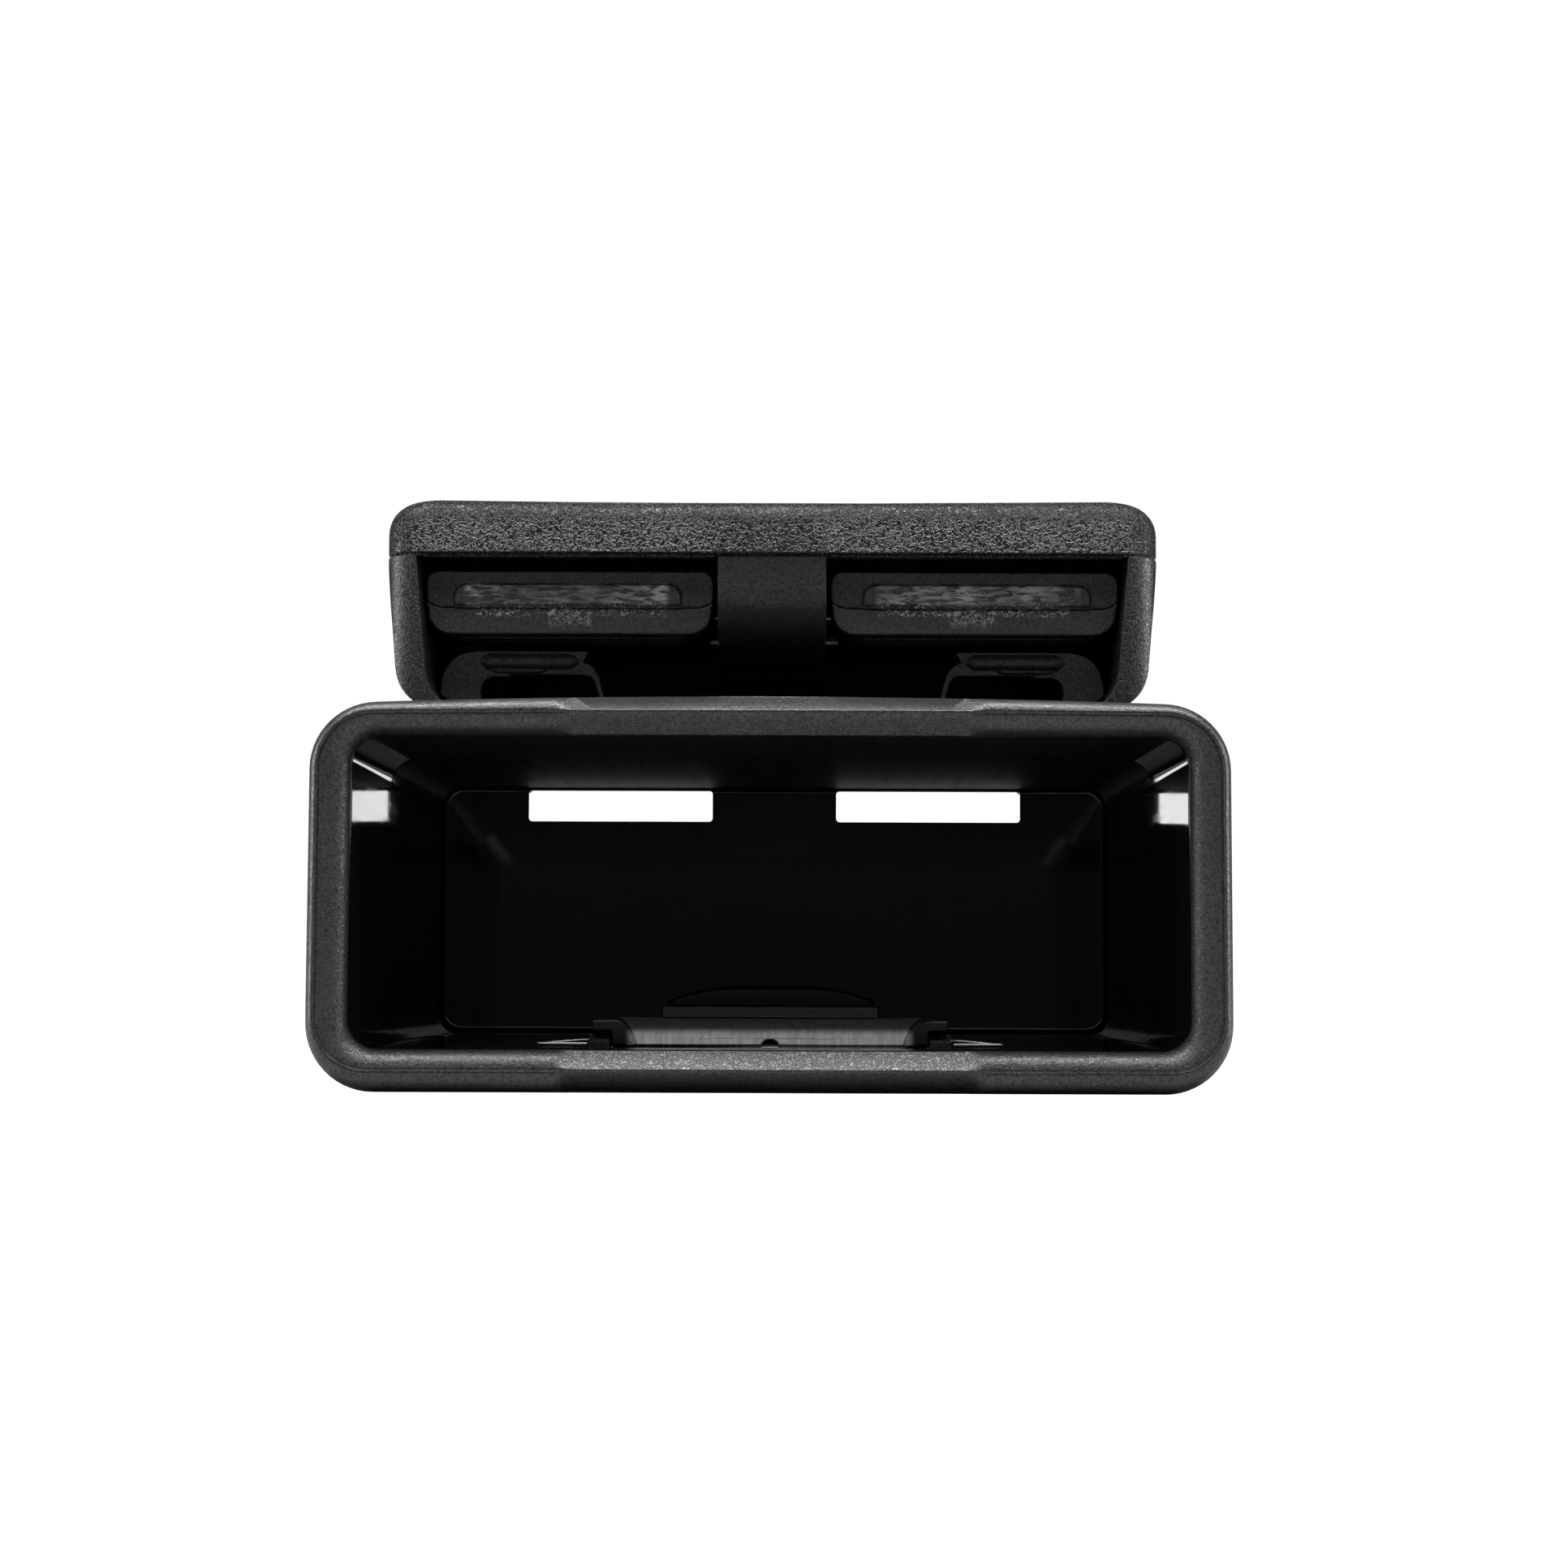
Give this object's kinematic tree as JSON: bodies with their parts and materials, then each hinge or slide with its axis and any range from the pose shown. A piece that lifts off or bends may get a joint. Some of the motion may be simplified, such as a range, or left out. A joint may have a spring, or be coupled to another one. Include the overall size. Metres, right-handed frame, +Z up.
{
  "type": "napkin dispenser",
  "caption": "Clip-on black plastic napkin dispenser: open-mouthed pocket with a sprung retaining latch, carried by a housing with sprung gripping tongues.",
  "frame": {"origin": "centre of the plane it rests on, half way along the pocket", "axes": "+X to the right as the mouth is faced, +Y from the mouth to the closed end, +Z up with the long lower face down"},
  "size_m": [0.143, 0.108, 0.0971],
  "materials": {
    "textured_plastic": "spark-eroded grain",
    "gloss_plastic": "gloss inside, grained outside",
    "satin_plastic": "satin",
    "grip_rubber": "matt",
    "bright_steel": "drawn wire and ground pin",
    "blackened_steel": "black oxide"
  },
  "bodies": {
    "housing": {"front_collar": "textured_plastic", "rear_shell": "gloss_plastic", "rubber_foot_1": "grip_rubber", "rubber_foot_2": "grip_rubber", "rubber_foot_3": "grip_rubber", "rubber_foot_4": "grip_rubber", "latch_bracket": "satin_plastic", "latch_pin": "bright_steel", "latch_spring_left": "bright_steel", "latch_spring_right": "bright_steel", "bracket_screw_left": "blackened_steel", "bracket_screw_right": "blackened_steel", "clip_frame": "textured_plastic", "clip_cover": "textured_plastic", "strap_guide": "satin_plastic", "clip_pin": "bright_steel", "tongue_spring_left": "bright_steel", "tongue_spring_right": "bright_steel", "guide_screw_left": "blackened_steel", "guide_screw_right": "blackened_steel", "frame_screw_1": "blackened_steel", "frame_screw_2": "blackened_steel", "frame_screw_3": "blackened_steel", "frame_screw_4": "blackened_steel", "cover_screw_1": "blackened_steel", "cover_screw_2": "blackened_steel", "cover_screw_3": "blackened_steel", "cover_screw_4": "blackened_steel"},
    "latch": {"latch_lever": "textured_plastic"},
    "left_tongue": {"tongue_left": "satin_plastic", "grip_pad_left": "grip_rubber"},
    "right_tongue": {"tongue_right": "satin_plastic", "grip_pad_right": "grip_rubber"}
  },
  "joints": [
    {"name": "latch_pivot", "type": "hinge", "parent": "housing", "child": "latch", "pos_m": [0, -0.029, 0.0062], "axis": [1, 0, 0], "range_deg": [-9.5, 0], "stiffness_Nm_per_rad": 0.25, "springref_deg": 8.59, "deforming": ["latch_spring_left", "latch_spring_right"]},
    {"name": "left_tongue_pivot", "type": "hinge", "parent": "housing", "child": "left_tongue", "pos_m": [-0.028, 0.034, 0.081], "axis": [-1, 0, 0], "range_deg": [0, 5], "stiffness_Nm_per_rad": 1.2, "springref_deg": -11.46, "deforming": ["tongue_spring_left"]},
    {"name": "right_tongue_pivot", "type": "hinge", "parent": "housing", "child": "right_tongue", "pos_m": [0.028, 0.034, 0.081], "axis": [-1, 0, 0], "range_deg": [0, 5], "stiffness_Nm_per_rad": 1.2, "springref_deg": -11.46, "deforming": ["tongue_spring_right"]}
  ]
}
